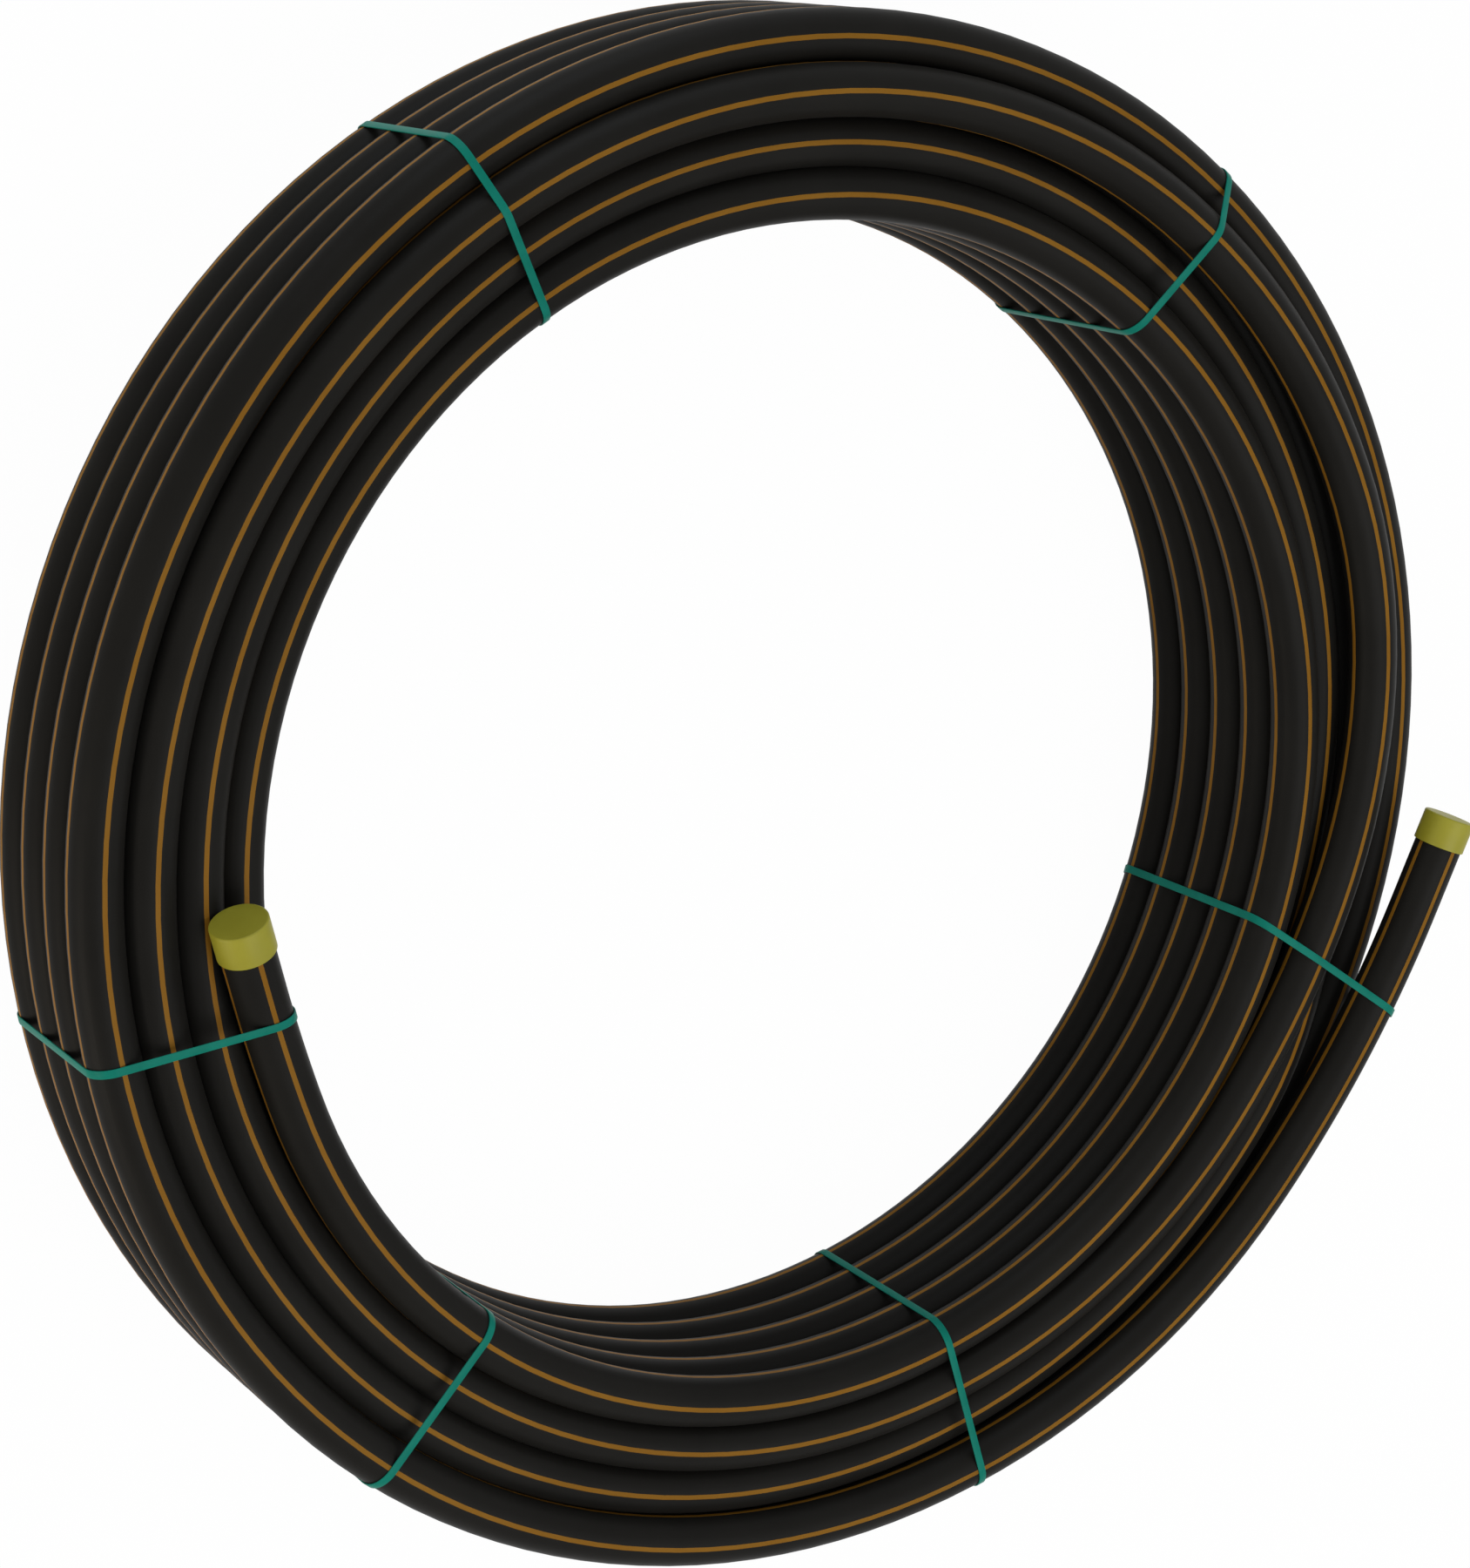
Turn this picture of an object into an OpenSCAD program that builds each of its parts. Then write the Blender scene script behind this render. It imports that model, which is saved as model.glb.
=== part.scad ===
// Coil of irrigation hose: a black polyethylene pipe wound in four layers, bound by six straps,
// with a push-on cap on each end.
// The coil lies flat: its axis is Z and its straps rest on z = 0. Angles run counter-clockwise
// about Z from +X. A turn angle counts on past 360 degrees, from the inner end to the outer end.

/* [Hose] */
// Outer diameter of the hose
hose_d = 32; // [25:1:40]
// Wall thickness of the hose
hose_wall = 3; // [2:0.1:4]

/* [Coil] */
// Diameter of the open eye
eye_d = 722; // [640:2:860]
// Turns side by side in the innermost layer
turns_wide = 5; // [4:1:6]
// Gap between neighbouring turns of the first and second layers
turn_gap = 0.1; // [0.1:0.1:0.5]
// Gap between neighbouring turns of the outermost layer
outer_gap = 2.5; // [2:0.1:4]
// How far each layer beds into the layer below it
layer_bed = 1.5; // [0:0.1:1.5]
// Backward lean of the third layer's first turn, as a share of the hose diameter
third_lean = 0.52; // [0.45:0.01:0.55]
// Arc over which the hose climbs from one layer to the next
climb_arc = 60; // [50:5:70]

/* [Hose ends] */
// Angle at which the inner end leaves the first turn
inner_leave = 204.6; // [200:0.1:210]
// Length over which the inner end bends upwards
inner_bend = 70; // [60:5:100]
// Upward slope of the inner end
inner_lift = 11.5; // [9:0.5:13]
// Length of the inner end, from where it leaves the coil to its cut face
inner_length = 119; // [110:1:125]
// Angle at which the outer end leaves the last turn
outer_leave = 325.5; // [320:0.5:335]
// Radius of the outer end's bend, wider than the coil
outer_radius = 590; // [560:10:700]
// Length over which the outer end bends
outer_bend = 220; // [180:10:240]
// Upward slope of the outer end against the last turn
outer_lift = 5; // [3:0.5:7]
// Length of the outer end, from where it leaves the coil to its cut face
outer_length = 284; // [275:1:300]

/* [Straps] */
// Width of a strap
strap_w = 5; // [4:0.5:8]
// Thickness of a strap
strap_t = 0.8; // [0.6:0.1:1.2]
// Skew of the strap that binds the outer end, against the coil's radius
outer_skew = 15; // [0:1:18]

/* [End caps] */
// Wall of a cap around the hose
cap_wall = 1; // [0.8:0.1:1.5]
// Clearance between a cap and the hose
cap_clearance = 0.3; // [0.2:0.05:0.4]
// Length of a cap
cap_length = 21; // [18:0.5:24]
// Thickness of a cap's closed end
cap_end = 1.5; // [1:0.1:2.5]

/* [Hidden] */

hose_r = hose_d / 2;
first_r = eye_d / 2 + hose_r;
layer_step = hose_d - layer_bed;
last_r = first_r + 3 * layer_step;
turn_pitch = hose_d + turn_gap;
outer_pitch = hose_d + outer_gap;

// Straps in the order of their angle. The third binds the inner end and the sixth, which is
// askew, the outer end, each this far past where that end leaves the coil.
third_strap_past = 8.1;
sixth_strap_past = 19.8;
strap_angles = [
    58, 127, inner_leave - third_strap_past, 236, 291, outer_leave + sixth_strap_past
];
strap_skews = [0, 0, 0, 0, 0, outer_skew];
strap_count = len(strap_angles);
strap_gap = 0.15;
strap_sides = 32;
strap_in_r = hose_r + strap_gap;
strap_out_r = strap_in_r + strap_t;
mid_r = (first_r + last_r) / 2;

// Turn angles at which the hose leaves each end and is halfway up to the next layer. Each climb
// has its own place in the turn, counted on from where the inner end leaves.
climb_places = [319.4, 155.4, 85.4];
inner_a = inner_leave;
climb_1 = inner_a + climb_places[0] + 360 * (turns_wide - 1);
climb_2 = inner_a + climb_places[1] + 360 * (2 * turns_wide - 1);
climb_3 = inner_a + climb_places[2] + 360 * (3 * turns_wide - 1);
outer_a = outer_leave + 360 * (4 * turns_wide - 2);

// Height of the hose's centre line in its rearmost and frontmost turns: the straps' lowest
// facets, each half a side off a vertex, lie on the floor
rear_z = strap_out_r * cos(180 / strap_sides);
front_z = rear_z + turn_pitch * (climb_1 - inner_a) / 360;
// The third layer starts a little behind the first, and the outermost ends a little in front
third_drop = 1.7;
outer_rise = 2.7;
// Last share of each turn of the third layer, in which it steps back to the next turn
third_jog = 0.08;

// Ends of the wound hose and of its two straight ends
inner_bend_a = inner_a - atan(inner_bend / first_r);
inner_cut_a = inner_a - atan(inner_length / first_r);
outer_turn = outer_bend / outer_radius * 180 / PI;
outer_bend_a = outer_a + atan2(
    outer_radius * sin(outer_turn),
    outer_radius * cos(outer_turn) + last_r - outer_radius
);
outer_slope = atan(tan(outer_lift) + outer_pitch / (2 * PI * last_r));

// The wound hose's section is an octagon, pressed oval so that the layers just clear each other
section_sides = 8;
section_squash = 0.925;
section_w = section_squash * hose_r;
// Longest arc between two rings of the wound hose, and shortest one before its two end rings
ring_arc = 11.5;
ring_least_arc = 1.4;

bore_r = hose_r - hose_wall;
cap_in_r = hose_r + cap_clearance;
cap_out_r = cap_in_r + cap_wall;
cap_depth = cap_length - cap_end;
cap_lead = 0.5;
cap_edge = 1.2;
cap_seat = 0.2;
round_sides = 96;
edge_steps = 6;

pipe_color = "#1e1e1c";
strap_color = "#1a7d6b";
cap_color = "#9b9632";

// Height gained along an upward bend of a given length and final slope
function bend_rise(s, len, lift) = tan(lift) * (s < len ? s * s / (2 * len) : s - len / 2);

// 0 before one turn angle, 1 after another, and a smooth step between them
function ramp(a, from, to) =
    let (t = min(max((a - from) / (to - from), 0), 1))
    t * t * (3 - 2 * t);

function climb_ramp(a, climb) = ramp(a, climb - climb_arc / 2, climb + climb_arc / 2);

// Radius of the wound hose: one step out at each climb
function wound_r(a) =
    first_r + layer_step * (climb_ramp(a, climb_1) + climb_ramp(a, climb_2) + climb_ramp(a, climb_3));

// Height of the hose in each layer. The first recedes from the front and the second comes back.
function first_z(a) = max(rear_z, front_z - turn_pitch * (a - inner_a) / 360);
function second_z(a) = min(front_z, front_z - turn_pitch * (climb_2 - a) / 360);

// The third recedes again in turns that lean less and less, with a step at the end of each
function third_start(turn) =
    front_z - third_drop - (front_z - third_drop - rear_z) * turn / (turns_wide - 1);
function third_z(a) =
    let (
        turns = max((a - climb_2) / 360, 0),
        turn = min(floor(turns), turns_wide - 1),
        share = turns - turn,
        lean = third_lean * hose_d * (1 - turn / (turns_wide - 1)),
        jog = ramp(share, 1 - third_jog, 1)
    )
    turn < turns_wide - 1
        ? (third_start(turn) - lean * share) * (1 - jog) + third_start(turn + 1) * jog
        : rear_z;

// The outermost comes forward in fewer, looser turns
function fourth_z(a) = front_z + outer_rise - outer_pitch * (outer_a - a) / 360;

function wound_z(a) =
    let (
        in_2 = ramp(a, climb_1, climb_1 + climb_arc),
        in_3 = ramp(a, climb_2, climb_2 + climb_arc),
        in_4 = ramp(a, climb_3, climb_3 + climb_arc)
    )
    first_z(a) * (1 - in_2) + second_z(a) * (in_2 - in_3) + third_z(a) * (in_3 - in_4)
        + fourth_z(a) * in_4;

function polar(r, a, z) = [r * cos(a), r * sin(a), z];

// The inner end is straight in plan and touches the first turn
function inner_centre(a) =
    let (s = first_r * tan(inner_a - a))
    polar(first_r / cos(inner_a - a), a, front_z + bend_rise(s, inner_bend, inner_lift));

// The outer end is an arc in plan that touches the last turn
function outer_centre(a) =
    let (
        past = a - outer_a,
        offset = last_r - outer_radius,
        r = offset * cos(past) + sqrt(outer_radius ^ 2 - (offset * sin(past)) ^ 2),
        s = outer_radius * atan2(r * sin(past), r * cos(past) - offset) * PI / 180,
        last_slope = outer_pitch / (2 * PI * last_r)
    )
    polar(r, a, front_z + outer_rise + bend_rise(s, outer_bend, outer_lift) + s * last_slope);

// Centre line of the hose at a turn angle
function centre(a) =
    a < inner_a ? inner_centre(a) : a > outer_a ? outer_centre(a) : polar(wound_r(a), a, wound_z(a));

// A frame is a point on the centre line with the heading and the slope of the hose there
function frame(a) =
    let (way = centre(a + 0.5) - centre(a - 0.5))
    [centre(a), atan2(way.y, way.x), atan2(way.z, norm([way.x, way.y]))];
inner_frame = [centre(inner_bend_a), inner_a + 90, -inner_lift];
outer_frame = [centre(outer_bend_a), outer_a + 90 + outer_turn, outer_slope];

function along(heading, slope) =
    [cos(heading) * cos(slope), sin(heading) * cos(slope), sin(slope)];

function ring(frame) =
    let (
        out = [sin(frame[1]), -cos(frame[1]), 0],
        up = cross(out, along(frame[1], frame[2]))
    )
    [
        for (i = [0:section_sides - 1])
            let (t = 360 * i / section_sides)
            frame[0] + out * section_w * cos(t) + up * hose_r * sin(t)
    ];

// Turn angle at which the hose passes a strap's middle, or a line beside it
function crossing_angle(a, skew, aside = 0) =
    let (near = centre(a))
    a + asin((mid_r * sin(skew) + aside) / norm([near.x, near.y])) - skew;

// The same for the straps counted on and on, turn after turn
function under_strap(n) =
    let (i = n % strap_count)
    crossing_angle(strap_angles[i] + 360 * floor(n / strap_count), strap_skews[i]);

// Turn angles of the rings: one under each strap, and even steps from strap to strap
ring_angles = [
    for (n = [0:strap_count * (4 * turns_wide + 1) - 1])
        let (
            from = under_strap(n),
            to = under_strap(n + 1),
            steps = ceil((to - from) / ring_arc)
        )
        for (j = [0:steps - 1])
            let (a = from + (to - from) * j / steps)
            if (a > inner_bend_a + ring_least_arc && a < outer_bend_a - ring_least_arc) a
];

module hose_coil() {
    frames = concat([inner_frame], [for (a = ring_angles) frame(a)], [outer_frame]);
    rings = len(frames);
    points = [for (f = frames) each ring(f)];
    walls = [
        for (i = [0:rings - 2], j = [0:section_sides - 1])
            let (
                a = i * section_sides + j,
                b = i * section_sides + (j + 1) % section_sides
            )
            each [[a, b, b + section_sides], [a, b + section_sides, a + section_sides]]
    ];
    inner_face = [for (j = [section_sides - 1:-1:0]) j];
    outer_face = [for (j = [0:section_sides - 1]) (rings - 1) * section_sides + j];
    color(pipe_color) polyhedron(points, concat(walls, [inner_face, outer_face]), convexity = 20);
}

// Stands the children's Z axis on the point, pointing along a heading and a slope
module place_along(point, heading, slope) {
    translate(point) rotate([0, 90 - slope, heading]) children();
}

module hose_end(length) {
    color(pipe_color) difference() {
        cylinder(r = hose_r, h = length, $fn = round_sides);
        translate([0, 0, -1]) cylinder(r = bore_r, h = length + 2, $fn = round_sides);
    }
}

// Lengths of the straight ends, from the wound hose to their cut faces
inner_straight = inner_length - inner_bend;
outer_straight = outer_length - outer_bend;

module hose_inner_end() {
    place_along(inner_frame[0], inner_a - 90, inner_lift) hose_end(inner_straight / cos(inner_lift));
}

module hose_outer_end() {
    place_along(outer_frame[0], outer_frame[1], outer_slope) hose_end(outer_straight / cos(outer_slope));
}

// A cap along Z, with the cut face of the hose at z = 0
module end_cap() {
    edge = [
        for (i = [0:edge_steps])
            let (t = 90 * i / edge_steps)
            [cap_out_r - cap_edge * (1 - cos(t)), cap_end - cap_edge * (1 - sin(t))]
    ];
    profile = concat(
        [
            [cap_in_r + cap_lead, -cap_depth],
            [cap_out_r, -cap_depth]
        ],
        edge,
        [
            [0, cap_end],
            [0, 0],
            [cap_in_r, 0],
            [cap_in_r, cap_lead - cap_depth]
        ]
    );
    color(cap_color) translate([0, 0, cap_seat]) rotate_extrude($fn = round_sides) polygon(profile);
}

module inner_cap() {
    cut = inner_frame[0] + along(inner_a - 90, inner_lift) * inner_straight / cos(inner_lift);
    place_along(cut, inner_a - 90, inner_lift) end_cap();
}

module outer_cap() {
    cut = outer_frame[0] + along(outer_frame[1], outer_slope) * outer_straight / cos(outer_slope);
    place_along(cut, outer_frame[1], outer_slope) end_cap();
}

// Where a turn of the hose crosses a strap's middle, or a line beside it: the place along the
// strap's plane, the height, and how much wider and taller than a circle the slanting cut is
function crossing(a, skew, aside) =
    let (
        here = frame(crossing_angle(a, skew, aside)),
        plane = a - skew
    )
    [
        here[0].x * cos(plane) + here[0].y * sin(plane),
        here[0].z,
        1 / abs(sin(here[1] - plane)),
        1 / cos(here[2])
    ];

module strap_outline(crossings, r) {
    hull() for (c = crossings) {
        translate([c[0], c[1]]) scale([c[2], c[3]])
        rotate(180 / strap_sides) circle(r, $fn = strap_sides);
    }
}

// A strap drawn tight, along both its edges, around every turn of the hose that passes it
module strap(i) {
    angle = strap_angles[i];
    skew = strap_skews[i];
    crossings = [
        for (turn = [0:4 * turns_wide], edge = [-strap_w / 2, strap_w / 2])
            if (angle + 360 * turn > inner_cut_a && angle + 360 * turn < outer_bend_a)
                crossing(angle + 360 * turn, skew, edge)
    ];
    color(strap_color)
    rotate([0, 0, angle - skew]) translate([0, mid_r * sin(skew), 0]) rotate([90, 0, 0])
    linear_extrude(strap_w, center = true) difference() {
        strap_outline(crossings, strap_out_r);
        strap_outline(crossings, strap_in_r);
    }
}

module strap_1() { strap(0); }
module strap_2() { strap(1); }
module strap_3() { strap(2); }
module strap_4() { strap(3); }
module strap_5() { strap(4); }
module strap_6() { strap(5); }

hose_coil();
hose_inner_end();
hose_outer_end();
inner_cap();
outer_cap();
strap_1();
strap_2();
strap_3();
strap_4();
strap_5();
strap_6();
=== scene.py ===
"""Coil of irrigation hose: black striped pipe, six green straps and two yellow end caps.

Everything is in metres in the part's own frame: the coil's axis is Z and it lies on z = 0.
Angles are in degrees, counter-clockwise from +X; a turn angle counts on past 360.
"""

from math import asin, atan, atan2, ceil, cos, degrees, floor, hypot, pi, radians, sin, sqrt, tan

import bpy
from mathutils import Matrix, Vector


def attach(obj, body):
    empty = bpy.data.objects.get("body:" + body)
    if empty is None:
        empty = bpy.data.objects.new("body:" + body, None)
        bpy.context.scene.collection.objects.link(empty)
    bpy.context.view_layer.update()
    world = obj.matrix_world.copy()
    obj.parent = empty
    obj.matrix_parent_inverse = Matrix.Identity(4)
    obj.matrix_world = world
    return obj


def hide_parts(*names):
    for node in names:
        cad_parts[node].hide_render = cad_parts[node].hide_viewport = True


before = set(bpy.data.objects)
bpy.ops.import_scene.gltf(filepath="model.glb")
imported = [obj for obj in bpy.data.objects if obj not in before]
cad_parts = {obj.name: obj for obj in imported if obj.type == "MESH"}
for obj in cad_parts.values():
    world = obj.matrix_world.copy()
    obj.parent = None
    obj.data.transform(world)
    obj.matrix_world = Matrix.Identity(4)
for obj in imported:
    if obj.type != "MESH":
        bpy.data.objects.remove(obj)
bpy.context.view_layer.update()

# Hose
HOSE_D = 0.032
HOSE_R = HOSE_D / 2
HOSE_WALL = 0.003
BORE_R = HOSE_R - HOSE_WALL
STRIPE_W = 0.0030

# Coil: the same law as the solids follow
EYE_D = 0.722
LAYERS = 4
TURNS_WIDE = 5
TURN_GAP = 0.0001
OUTER_GAP = 0.0025
LAYER_BED = 0.0015
THIRD_LEAN = 0.52 * HOSE_D
CLIMB_ARC = 60
TURN_PITCH = HOSE_D + TURN_GAP
OUTER_PITCH = HOSE_D + OUTER_GAP
LAYER_STEP = HOSE_D - LAYER_BED
FIRST_R = EYE_D / 2 + HOSE_R
LAST_R = FIRST_R + (LAYERS - 1) * LAYER_STEP
MID_R = (FIRST_R + LAST_R) / 2

# Ends of the hose
INNER_A = 204.6
INNER_BEND = 0.070
INNER_LIFT = 11.5
INNER_LENGTH = 0.119
OUTER_LEAVE = 325.5
OUTER_A = OUTER_LEAVE + 360 * (LAYERS * TURNS_WIDE - 2)
OUTER_RADIUS = 0.590
OUTER_BEND = 0.220
OUTER_LIFT = 5
OUTER_LENGTH = 0.284

# Turn angles at which the hose is halfway up to the next layer, each in its layer's last turn
CLIMB_PLACES = (319.4, 155.4, 85.4)
CLIMBS = [
    INNER_A + place + 360 * (layer * TURNS_WIDE - 1) for layer, place in enumerate(CLIMB_PLACES, 1)
]
CLIMB_1, CLIMB_2 = CLIMBS[:2]

# Straps, the third over the inner end and the sixth, set askew, over the outer end
THIRD_STRAP_PAST = 8.1
SIXTH_STRAP_PAST = 19.8
STRAP_ANGLES = (58, 127, INNER_A - THIRD_STRAP_PAST, 236, 291, OUTER_LEAVE + SIXTH_STRAP_PAST)
STRAP_SKEWS = (0, 0, 0, 0, 0, 15)
STRAP_W = 0.005
STRAP_T = 0.0008
STRAP_GAP = 0.00015
STRAP_IN_R = HOSE_R + STRAP_GAP
STRAP_OUT_R = STRAP_IN_R + STRAP_T
# Facets round a circle of the solids' straps, which lie on the middles of theirs
STRAP_SIDES = 32

# Caps
CAP_WALL = 0.001
CAP_CLEARANCE = 0.0003
CAP_LENGTH = 0.021
CAP_END = 0.0015
CAP_EDGE = 0.0012
CAP_SEAT = 0.0002

# Heights of the turns nearest the floor and farthest from it, and the shape of the outer layers
REAR_Z = STRAP_OUT_R * cos(radians(180 / STRAP_SIDES))
FRONT_Z = REAR_Z + TURN_PITCH * (CLIMB_1 - INNER_A) / 360
THIRD_DROP = 0.0017
THIRD_JOG = 0.08
OUTER_RISE = 0.0027
LAST_SLOPE = OUTER_PITCH / (2 * pi * LAST_R)
OUTER_TURN = OUTER_BEND / OUTER_RADIUS
# Turn angles of the inner cut face, and of the end of the outer end's bend
INNER_CUT_A = INNER_A - degrees(atan(INNER_LENGTH / FIRST_R))
OUTER_BEND_A = OUTER_A + degrees(
    atan2(OUTER_RADIUS * sin(OUTER_TURN), OUTER_RADIUS * cos(OUTER_TURN) + LAST_R - OUTER_RADIUS)
)


def polar(r, a, z):
    """The point at a radius, an angle and a height."""
    return Vector((r * cos(radians(a)), r * sin(radians(a)), z))


def bend_rise(s, length, lift):
    """Height gained along an upward bend of a given length and final slope."""
    return tan(radians(lift)) * (s * s / (2 * length) if s < length else s - length / 2)


def ramp(a, start, end):
    """0 before one turn angle, 1 after another, and a smooth step between them."""
    t = min(max((a - start) / (end - start), 0), 1)
    return t * t * (3 - 2 * t)


def wound_r(a):
    """Radius of the wound hose: one step out at each climb."""
    half = CLIMB_ARC / 2
    return FIRST_R + LAYER_STEP * sum(ramp(a, c - half, c + half) for c in CLIMBS)


def third_start(turn):
    """Height at which a turn of the third layer starts."""
    return FRONT_Z - THIRD_DROP - (FRONT_Z - THIRD_DROP - REAR_Z) * turn / (TURNS_WIDE - 1)


def third_z(a):
    """The third layer recedes in turns that lean less and less, with a step at the end of each."""
    turns = max((a - CLIMB_2) / 360, 0)
    turn = min(floor(turns), TURNS_WIDE - 1)
    if turn == TURNS_WIDE - 1:
        return REAR_Z
    share = turns - turn
    lean = THIRD_LEAN * (1 - turn / (TURNS_WIDE - 1))
    jog = ramp(share, 1 - THIRD_JOG, 1)
    return (third_start(turn) - lean * share) * (1 - jog) + third_start(turn + 1) * jog


def wound_z(a):
    """Height of the wound hose: each layer's own, and a smooth change from one to the next."""
    first = max(REAR_Z, FRONT_Z - TURN_PITCH * (a - INNER_A) / 360)
    second = min(FRONT_Z, FRONT_Z - TURN_PITCH * (CLIMB_2 - a) / 360)
    fourth = FRONT_Z + OUTER_RISE - OUTER_PITCH * (OUTER_A - a) / 360
    in_2, in_3, in_4 = (ramp(a, c, c + CLIMB_ARC) for c in CLIMBS)
    return first * (1 - in_2) + second * (in_2 - in_3) + third_z(a) * (in_3 - in_4) + fourth * in_4


def inner_end_point(s):
    """Centre line of the inner end: straight in plan, bending upwards."""
    leave = polar(FIRST_R, INNER_A, FRONT_Z)
    rise = Vector((0, 0, bend_rise(s, INNER_BEND, INNER_LIFT)))
    return leave + s * polar(1, INNER_A - 90, 0) + rise


def outer_end_point(s):
    """Centre line of the outer end: a wide arc in plan, then straight."""
    bent = min(s, OUTER_BEND)
    turn = OUTER_A + degrees(bent / OUTER_RADIUS)
    centre = polar(LAST_R - OUTER_RADIUS, OUTER_A, FRONT_Z + OUTER_RISE)
    rise = bend_rise(s, OUTER_BEND, OUTER_LIFT) + s * LAST_SLOPE
    return centre + polar(OUTER_RADIUS, turn, rise) + (s - bent) * polar(1, turn + 90, 0)


def centre(a):
    """Centre line of the hose at a turn angle."""
    if a < INNER_A:
        return inner_end_point(FIRST_R * tan(radians(INNER_A - a)))
    if a > OUTER_A:
        offset = LAST_R - OUTER_RADIUS
        past = radians(a - OUTER_A)
        r = offset * cos(past) + sqrt(OUTER_RADIUS**2 - (offset * sin(past)) ** 2)
        return outer_end_point(OUTER_RADIUS * atan2(r * sin(past), r * cos(past) - offset))
    return polar(wound_r(a), a, wound_z(a))


# ---------------------------------------------------------------- camera

# The photograph's camera, in the part's frame, looking through the middle of a 1688 x 1800 picture
PHOTO_H = 1800
FOCAL_PX = 4087.9
SENSOR = 36
CAMERA_PLACE = Vector((-1.1877, 0.4340, 1.9435))
CAMERA_AXIS = Vector((-0.218775, -0.550637, 0.050031))


def make_camera():
    data = bpy.data.cameras.new("camera")
    data.sensor_width = SENSOR
    data.lens = SENSOR * FOCAL_PX / PHOTO_H
    camera = bpy.data.objects.new("camera", data)
    bpy.context.scene.collection.objects.link(camera)
    turn = Matrix.Rotation(CAMERA_AXIS.length, 4, CAMERA_AXIS.normalized())
    camera.matrix_world = Matrix.Translation(CAMERA_PLACE) @ turn
    bpy.context.scene.camera = camera


make_camera()


# ---------------------------------------------------------------- meshes

SHARP_ANGLE = 35


def new_object(name, points, faces):
    mesh = bpy.data.meshes.new(name)
    mesh.from_pydata(points, [], faces)
    mesh.validate()
    piece = bpy.data.objects.new(name, mesh)
    bpy.context.scene.collection.objects.link(piece)
    return piece


def smooth(piece):
    """Smooth shading, with sharp edges where two faces meet at more than SHARP_ANGLE."""
    piece.data.shade_smooth()
    piece.data.set_sharp_from_angle(angle=radians(SHARP_ANGLE))


# Rings along the hose: no more than STEP_ANGLE apart in the coil and STEP_LENGTH in the ends
STEP_ANGLE = 2.5
STEP_LENGTH = 0.008
STRIPES = 4
# Facets between two stripes
FACETS = 7
# Rings down each open end's bore
BORE_SHOWN = 12


def evenly(start, end, step):
    """Values from start to end, both included, no more than step apart."""
    count = ceil(abs(end - start) / step)
    return [start + (end - start) * i / count for i in range(count + 1)]


def hose_line():
    """Points of the centre line from the inner cut face to the outer one."""
    inner = [inner_end_point(s) for s in evenly(INNER_LENGTH, 0, STEP_LENGTH)]
    wound = [centre(a) for a in evenly(INNER_A, OUTER_A, STEP_ANGLE)[1:-1]]
    outer = [outer_end_point(s) for s in evenly(0, OUTER_LENGTH, STEP_LENGTH)]
    return inner + wound + outer


def line_lengths(line):
    """Length run along the line up to each of its points."""
    runs = [0.0]
    for before, after in zip(line, line[1:]):
        runs.append(runs[-1] + (after - before).length)
    return runs


def section_angles():
    """Angles round the hose at which a facet starts, and which of the facets are stripes."""
    half = degrees(STRIPE_W / 2 / HOSE_R)
    apart = 360 / STRIPES
    angles, striped = [], []
    for side in range(STRIPES):
        middle = apart * side
        plain = [middle + half + (apart - 2 * half) * i / FACETS for i in range(FACETS)]
        angles += [middle - half, *plain]
        striped += [True] + [False] * FACETS
    return angles, striped


def ring_at(line, i, angles, radius):
    """A ring square to the centre line: angle 0 points away from the coil's axis, 90 up."""
    along = (line[min(i + 1, len(line) - 1)] - line[max(i - 1, 0)]).normalized()
    out = Vector((along.y, -along.x, 0)).normalized()
    up = out.cross(along)
    return [line[i] + radius * (out * cos(radians(t)) + up * sin(radians(t))) for t in angles]


def strips(first, second, count):
    """Faces between two rings of points, given the index of each ring's first point."""
    pairs = [(j, (j + 1) % count) for j in range(count)]
    return [(first + j, first + after, second + after, second + j) for j, after in pairs]


def make_hose(line):
    """The hose with its stripes and open ends, and the angles round it at which a facet starts."""
    angles, striped = section_angles()
    n = len(angles)
    last = len(line) - 1
    points, faces, stripe_faces = [], [], []
    for i in range(len(line)):
        points += ring_at(line, i, angles, HOSE_R)
    for i in range(last):
        faces += strips(n * i, n * (i + 1), n)
        stripe_faces += striped
    for end, way in ((0, 1), (last, -1)):
        rim = n * end
        for depth in range(BORE_SHOWN):
            ring = len(points)
            points += ring_at(line, end + way * depth, angles, BORE_R)
            wall = strips(rim, ring, n)
            faces += [face[::-1] for face in wall] if way > 0 else wall
            rim = ring
        bottom = tuple(range(rim, rim + n))
        faces.append(bottom[::-1] if way > 0 else bottom)
    hose = new_object("hose", points, faces)
    for face, stripe in zip(hose.data.polygons, stripe_faces):
        face.material_index = int(stripe)
    smooth(hose)
    return hose, angles


# Rows of the hose's texture map, each holding one stretch of its length, and the shares left free
MAP_ROWS = 20
MAP_MARGIN = 0.03
MAP_EDGE = 0.01
MAP_SEAM = 0.05


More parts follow.
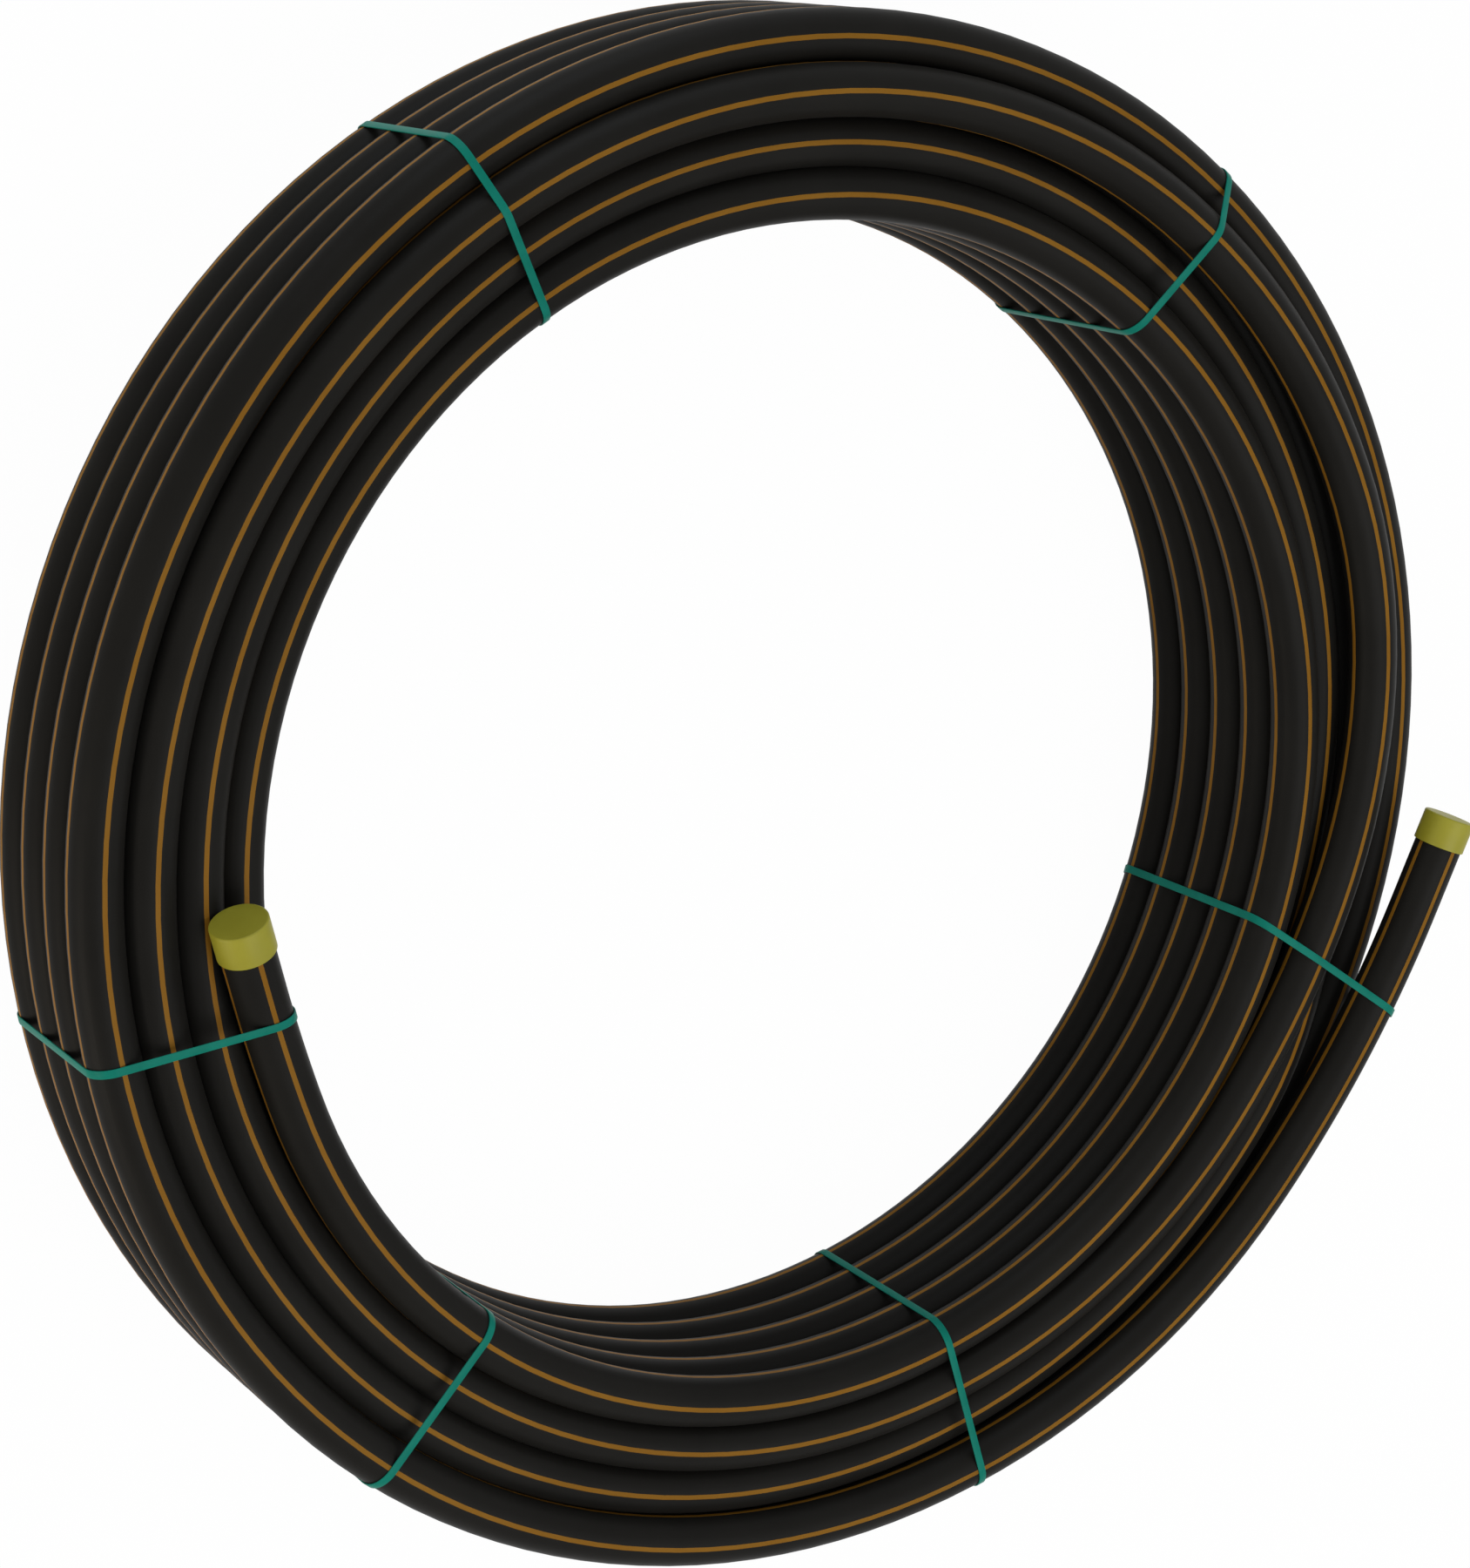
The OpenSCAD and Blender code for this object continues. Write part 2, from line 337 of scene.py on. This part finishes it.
def map_hose(hose, angles, runs):
    """Two maps: Run, in metres along the hose and turns round it, and OFBake, a texture's rows.

    The bores share a last row of their own.
    """
    n = len(angles)
    mesh = hose.data
    run_map = mesh.uv_layers.new(name="Run").data
    bake_map = mesh.uv_layers.new(name="OFBake").data
    row_length = runs[-1] / MAP_ROWS
    walls = n * (len(runs) - 1)
    for face in mesh.polygons:
        if face.index >= walls:
            for corner, loop in enumerate(face.loop_indices):
                spot = mesh.vertices[mesh.loops[loop].vertex_index].index % n
                run_map[loop].uv = (0, spot / n)
                bake_map[loop].uv = (corner / 4 * MAP_EDGE, (MAP_ROWS + spot / n) / (MAP_ROWS + 1))
            continue
        step, column = divmod(face.index, n)
        row = int((runs[step] + runs[step + 1]) / 2 / row_length)
        for loop in face.loop_indices:
            ring, spot = divmod(mesh.loops[loop].vertex_index, n)
            turn = angles[spot] / 360 + (1 if column == n - 1 and spot == 0 else 0)
            along = (runs[ring] - row * row_length) / row_length
            up = (1 - 2 * MAP_MARGIN) * (turn + MAP_SEAM) / (1 + MAP_SEAM)
            run_map[loop].uv = (runs[ring], turn)
            bake_map[loop].uv = (
                MAP_EDGE + (1 - 2 * MAP_EDGE) * along,
                (row + MAP_MARGIN + up) / (MAP_ROWS + 1),
            )


line = hose_line()
runs = line_lengths(line)
hose, hose_angles = make_hose(line)
map_hose(hose, hose_angles, runs)
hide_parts("hose_coil", "hose_inner_end", "hose_outer_end")
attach(hose, "coil")


# ---------------------------------------------------------------- straps

HULL_STEPS = 96
# The least that three points of an outline turn, twice the area between them in square metres
HULL_TURN = 1e-12
STRAP_EDGE = 0.0002
# Half the turn angle over which the hose's direction is measured
NEARBY = 0.5


def crossing(a, skew, across):
    """Where a turn crosses a strap, some way across it: place, height, widening and heightening.

    The last two say how much wider and taller than a circle the hose's slanted section is there.
    """
    near = centre(a)
    aside = MID_R * sin(radians(skew)) + across
    at = a + degrees(asin(aside / hypot(near.x, near.y))) - skew
    here = centre(at)
    way = centre(at + NEARBY) - centre(at - NEARBY)
    plane = radians(a - skew)
    level = hypot(way.x, way.y)
    wide = level / abs(way.y * cos(plane) - way.x * sin(plane))
    return here.x * cos(plane) + here.y * sin(plane), here.z, wide, way.length / level


def rim_point(circle, t, r):
    """The point at an angle on the section that crossing gives, for a circle of radius r."""
    x, z, wide, tall = circle
    return x + wide * r * cos(t), z + tall * r * sin(t)


def hull_of(circles, r):
    """The convex outline round the circles, as (number of the circle, angle) pairs in order."""
    spots = []
    for number, circle in enumerate(circles):
        for i in range(HULL_STEPS):
            t = 2 * pi * i / HULL_STEPS
            spots.append((*rim_point(circle, t, r), number, t))
    spots.sort()

    def half(ordered):
        chain = []
        for spot in ordered:
            while len(chain) > 1:
                (ax, ay), (bx, by) = chain[-2][:2], chain[-1][:2]
                if (bx - ax) * (spot[1] - ay) - (by - ay) * (spot[0] - ax) > HULL_TURN:
                    break
                chain.pop()
            chain.append(spot)
        return chain[:-1]

    return [spot[2:] for spot in half(spots) + half(spots[::-1])]


def band_section():
    """Rounded rectangle of a strap: (across, radius) pairs, counter-clockwise."""
    corners = [
        (STRAP_W / 2 - STRAP_EDGE, STRAP_OUT_R - STRAP_EDGE, 0),
        (-STRAP_W / 2 + STRAP_EDGE, STRAP_OUT_R - STRAP_EDGE, 90),
        (-STRAP_W / 2 + STRAP_EDGE, STRAP_IN_R + STRAP_EDGE, 180),
        (STRAP_W / 2 - STRAP_EDGE, STRAP_IN_R + STRAP_EDGE, 270),
    ]
    return [
        (x + STRAP_EDGE * cos(radians(t + step)), y + STRAP_EDGE * sin(radians(t + step)))
        for x, y, t in corners
        for step in (0, 45, 90)
    ]


def make_strap(number, angle, skew):
    """A band drawn tight round every turn that passes it, lying on the hose along both edges."""
    turns = [angle + 360 * turn for turn in range(LAYERS * TURNS_WIDE)]
    passing = [a for a in turns if INNER_CUT_A < a < OUTER_BEND_A]
    outline = hull_of([crossing(a, skew, 0) for a in passing], (STRAP_IN_R + STRAP_OUT_R) / 2)
    section = band_section()
    n = len(section)
    plane = Matrix.Rotation(radians(angle - skew), 3, "Z")
    aside = MID_R * sin(radians(skew))
    rings = []
    for across, r in section:
        circles = [crossing(a, skew, across) for a in passing]
        places = [rim_point(circles[number], t, r) for number, t in outline]
        rings.append([plane @ Vector((x, aside + across, z)) for x, z in places])
    points = [place for spot in zip(*rings) for place in spot]
    faces = []
    for i in range(len(outline)):
        faces += strips(n * i, n * ((i + 1) % len(outline)), n)
    strap = new_object(f"strap_band_{number}", points, faces)
    smooth(strap)
    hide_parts(f"strap_{number}")
    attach(strap, "coil")
    return strap


straps = [make_strap(i + 1, a, s) for i, (a, s) in enumerate(zip(STRAP_ANGLES, STRAP_SKEWS))]


# ---------------------------------------------------------------- caps

CAP_IN_R = HOSE_R + CAP_CLEARANCE
CAP_OUT_R = CAP_IN_R + CAP_WALL
CAP_DEPTH = CAP_LENGTH - CAP_END
CAP_LEAD = 0.0005
CAP_RIM = 0.0003
CAP_CORNER = 0.0004
# Radii of the rings on the closed end, outside and inside
CAP_END_RINGS = (0.004, 0.012)
CAP_FLOOR_RING = 0.008
CAP_SIDES = 96


def arc(x, y, r, start, end, steps=8):
    """Points on an arc round (x, y)."""
    turns = [radians(start + (end - start) * i / steps) for i in range(steps + 1)]
    return [(x + r * cos(t), y + r * sin(t)) for t in turns]


def cap_profile():
    """(radius, height) pairs from the middle of the closed end, outside, round to the inside."""
    return (
        [(r, CAP_END) for r in CAP_END_RINGS]
        + arc(CAP_OUT_R - CAP_EDGE, CAP_END - CAP_EDGE, CAP_EDGE, 90, 0)
        + [(CAP_OUT_R, -CAP_DEPTH / 2)]
        + arc(CAP_OUT_R - CAP_RIM, CAP_RIM - CAP_DEPTH, CAP_RIM, 0, -90, 4)
        + [(CAP_IN_R + CAP_LEAD, -CAP_DEPTH), (CAP_IN_R, CAP_LEAD - CAP_DEPTH)]
        + [(CAP_IN_R, -CAP_CORNER), (CAP_IN_R - CAP_CORNER, 0), (CAP_FLOOR_RING, 0)]
    )


def make_cap(name, node, cut, way):
    """A cup lathed round the hose's end: cut is the middle of the cut face, way points out."""
    profile = cap_profile()
    turns = [2 * pi * i / CAP_SIDES for i in range(CAP_SIDES)]
    points, faces = [], []
    for r, z in profile:
        points += [Vector((r * cos(t), r * sin(t), z + CAP_SEAT)) for t in turns]
    for i in range(len(profile) - 1):
        faces += [face[::-1] for face in strips(CAP_SIDES * i, CAP_SIDES * (i + 1), CAP_SIDES)]
    middle = len(points)
    points += [Vector((0, 0, CAP_END + CAP_SEAT)), Vector((0, 0, CAP_SEAT))]
    inside = CAP_SIDES * (len(profile) - 1)
    for i in range(CAP_SIDES):
        after = (i + 1) % CAP_SIDES
        faces.append((middle, i, after))
        faces.append((middle + 1, inside + after, inside + i))
    turn = way.to_track_quat("Z", "Y").to_matrix()
    cap = new_object(name, [cut + turn @ point for point in points], faces)
    smooth(cap)
    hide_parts(node)
    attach(cap, node)
    return cap


inner_cap = make_cap("cap_inside", "inner_cap", line[0], (line[0] - line[1]).normalized())
outer_cap = make_cap("cap_outside", "outer_cap", line[-1], (line[-1] - line[-2]).normalized())


# ---------------------------------------------------------------- materials

# The middle of a noise's range, which holds most of it
NOISE_LOW = 0.3
NOISE_HIGH = 0.7
# Depths of the bumps, in metres
LINE_DEPTH = 0.00004
SCUFF_DEPTH = 0.00003
GRAIN_DEPTH = 0.00003


class Nodes:
    """A material's node tree, with short calls to add and join nodes."""

    def __init__(self, name, **constants):
        self.material = bpy.data.materials.new(name)
        self.material.use_nodes = True
        self.tree = self.material.node_tree
        self.shader = self.tree.nodes["Principled BSDF"]
        for socket, value in constants.items():
            self.shader.inputs[socket.replace("_", " ")].default_value = value

    def add(self, kind, **settings):
        """A new node, with each setting put on its socket or, where it has none, on the node."""
        node = self.tree.nodes.new(kind)
        for key, value in settings.items():
            if key in node.inputs:
                node.inputs[key].default_value = value
            else:
                setattr(node, key, value)
        return node

    def join(self, source, target):
        self.tree.links.new(source, target)

    def place(self):
        """Object coordinates, in metres."""
        return self.add("ShaderNodeTexCoord").outputs["Object"]

    def along(self, scale):
        """The Run map of the hose, in metres along it and turns round it, stretched by scale."""
        mapping = self.add("ShaderNodeMapping", Scale=scale)
        self.join(self.add("ShaderNodeUVMap", uv_map="Run").outputs["UV"], mapping.inputs["Vector"])
        return mapping.outputs["Vector"]

    def noise(self, vector, scale, detail, roughness=0.55):
        node = self.add("ShaderNodeTexNoise", Scale=scale, Detail=detail, Roughness=roughness)
        self.join(vector, node.inputs["Vector"])
        return node.outputs["Fac"]

    def spread(self, value, low, high):
        """A noise mapped from the middle of its range to low..high."""
        limits = {"From Min": NOISE_LOW, "From Max": NOISE_HIGH, "To Min": low, "To Max": high}
        node = self.add("ShaderNodeMapRange", **limits)
        self.join(value, node.inputs["Value"])
        return node.outputs["Result"]

    def colour(self, value, first, second):
        """The base colour, blended from first to second by a noise."""
        node = self.add("ShaderNodeMix", data_type="RGBA")
        self.join(self.spread(value, 0, 1), node.inputs["Factor"])
        node.inputs["A"].default_value = (*first, 1)
        node.inputs["B"].default_value = (*second, 1)
        self.join(node.outputs["Result"], self.shader.inputs["Base Color"])

    def roughness(self, value, low, high):
        self.join(self.spread(value, low, high), self.shader.inputs["Roughness"])

    def bump(self, *heights):
        """Bumps one on another: (height output, depth in metres)."""
        normal = None
        for height, depth in heights:
            node = self.add("ShaderNodeBump", Distance=depth, Strength=1.0)
            self.join(height, node.inputs["Height"])
            if normal:
                self.join(normal, node.inputs["Normal"])
            normal = node.outputs["Normal"]
        self.join(normal, self.shader.inputs["Normal"])


def pipe_finish(name, colours, roughness):
    """Extruded polyethylene: fine draw lines along the hose, and light scuffs and dust."""
    made = Nodes(name, IOR=1.5, Specular_IOR_Level=0.05)
    dust = made.noise(made.place(), scale=14, detail=5, roughness=0.6)
    scuffs = made.noise(made.along((3, 22, 1)), scale=6, detail=4, roughness=0.7)
    lines = made.noise(made.along((0.6, 160, 1)), scale=1, detail=2, roughness=0.5)
    made.colour(dust, *colours)
    made.roughness(scuffs, *roughness)
    made.bump((lines, LINE_DEPTH), (scuffs, SCUFF_DEPTH))
    return made.material


def plastic_finish(name, colours, roughness, cast, grain, **constants):
    """Satin plastic with a fine grain and a faint cast of light and dark.

    cast is the scale and detail of that noise, grain the scale of the other.
    """
    made = Nodes(name, **constants)
    shade = made.noise(made.place(), *cast)
    made.colour(shade, *colours)
    made.roughness(shade, *roughness)
    made.bump((made.noise(made.place(), scale=grain, detail=2), GRAIN_DEPTH))
    return made.material


pipe_black = pipe_finish(
    "pipe_black",
    colours=((0.0096, 0.0090, 0.0079), (0.0124, 0.0117, 0.0103)),
    roughness=(0.40, 0.50),
)
pipe_stripe = pipe_finish(
    "pipe_stripe",
    colours=((0.232, 0.104, 0.010), (0.262, 0.123, 0.015)),
    roughness=(0.44, 0.54),
)
strap_green = plastic_finish(
    "strapping",
    colours=((0.005, 0.175, 0.127), (0.010, 0.215, 0.160)),
    roughness=(0.32, 0.42),
    cast=(60, 4),
    grain=1400,
    IOR=1.49,
    Specular_IOR_Level=0.04,
)
cap_yellow = plastic_finish(
    "cap_plastic",
    colours=((0.300, 0.275, 0.020), (0.345, 0.318, 0.028)),
    roughness=(0.42, 0.52),
    cast=(45, 3),
    grain=1600,
    IOR=1.49,
    Specular_IOR_Level=0.3,
)
hose.data.materials.append(pipe_black)
hose.data.materials.append(pipe_stripe)
for strap in straps:
    strap.data.materials.append(strap_green)
for cap in (inner_cap, outer_cap):
    cap.data.materials.append(cap_yellow)


# ---------------------------------------------------------------- studio

FLOOR_SIZE = 12
FLOOR_DROP = 0.0005
FLOOR_TONE = 0.9
FLOOR_ROUGHNESS = 0.9
# How much of the floor's own light and shade shows through its white
SHADOW_SHARE = 0.02
ROOM_LIGHT = 0.34
# Soft boxes: name, place, side in metres, power in watts and colour
LAMPS = (
    ("left", (-2.45, -1.3, 0.32), 1.3, 28, (1.0, 0.90, 0.76)),
    ("top", (-0.6, 2.6, 0.6), 1.6, 20, (0.84, 0.92, 1.0)),
    ("front", (0.6, -1.0, 3.6), 2.6, 66, (1.0, 1.0, 1.0)),
)


def seen_white(tree):
    """1 for the camera's own rays and those of mirrors and glass, so that all meet one white."""
    path = tree.nodes.new("ShaderNodeLightPath")
    value = path.outputs["Is Camera Ray"]
    for other in ("Is Glossy Ray", "Is Transmission Ray"):
        either = tree.nodes.new("ShaderNodeMath")
        either.operation = "MAXIMUM"
        tree.links.new(value, either.inputs[0])
        tree.links.new(path.outputs[other], either.inputs[1])
        value = either.outputs[0]
    return value


def make_floor():
    """A pale floor that is white to the camera and in reflections, but for a faint soft shadow."""
    r = FLOOR_SIZE / 2
    corners = [(x, y, -FLOOR_DROP) for x, y in ((-r, -r), (r, -r), (r, r), (-r, r))]
    ground = new_object("floor", corners, [(0, 1, 2, 3)])
    tone = (FLOOR_TONE, FLOOR_TONE, FLOOR_TONE, 1)
    made = Nodes("floor_white", Base_Color=tone, Roughness=FLOOR_ROUGHNESS)
    out = made.tree.nodes["Material Output"]
    glow = made.add("ShaderNodeEmission", Strength=1.0)
    share = made.add("ShaderNodeMath", operation="MULTIPLY")
    made.join(seen_white(made.tree), share.inputs[0])
    share.inputs[1].default_value = 1 - SHADOW_SHARE
    mix = made.add("ShaderNodeMixShader")
    made.join(share.outputs[0], mix.inputs["Fac"])
    made.join(made.shader.outputs[0], mix.inputs[1])
    made.join(glow.outputs[0], mix.inputs[2])
    made.join(mix.outputs[0], out.inputs["Surface"])
    ground.data.materials.append(made.material)


def make_lamp(name, place, size, power, colour):
    """A square soft box that faces the middle of the coil."""
    data = bpy.data.lights.new(name, "AREA")
    data.shape = "SQUARE"
    data.size = size
    data.energy = power
    data.color = colour
    lamp = bpy.data.objects.new(name, data)
    lamp.location = place
    lamp.rotation_euler = (-Vector(place)).to_track_quat("-Z", "Y").to_euler()
    bpy.context.scene.collection.objects.link(lamp)


def make_world(strength):
    """The studio's own light, the same from every side, before the same white as the floor's."""
    world = bpy.data.worlds.new("studio")
    world.use_nodes = True
    tree = world.node_tree
    room = tree.nodes["Background"]
    room.inputs["Color"].default_value = (1, 1, 1, 1)
    room.inputs["Strength"].default_value = strength
    white = tree.nodes.new("ShaderNodeBackground")
    white.inputs["Color"].default_value = (1, 1, 1, 1)
    mix = tree.nodes.new("ShaderNodeMixShader")
    tree.links.new(seen_white(tree), mix.inputs["Fac"])
    tree.links.new(room.outputs[0], mix.inputs[1])
    tree.links.new(white.outputs[0], mix.inputs[2])
    tree.links.new(mix.outputs[0], tree.nodes["World Output"].inputs["Surface"])
    bpy.context.scene.world = world


make_floor()
make_world(ROOM_LIGHT)
for lamp in LAMPS:
    make_lamp(*lamp)
bpy.context.scene.view_settings.view_transform = "Standard"
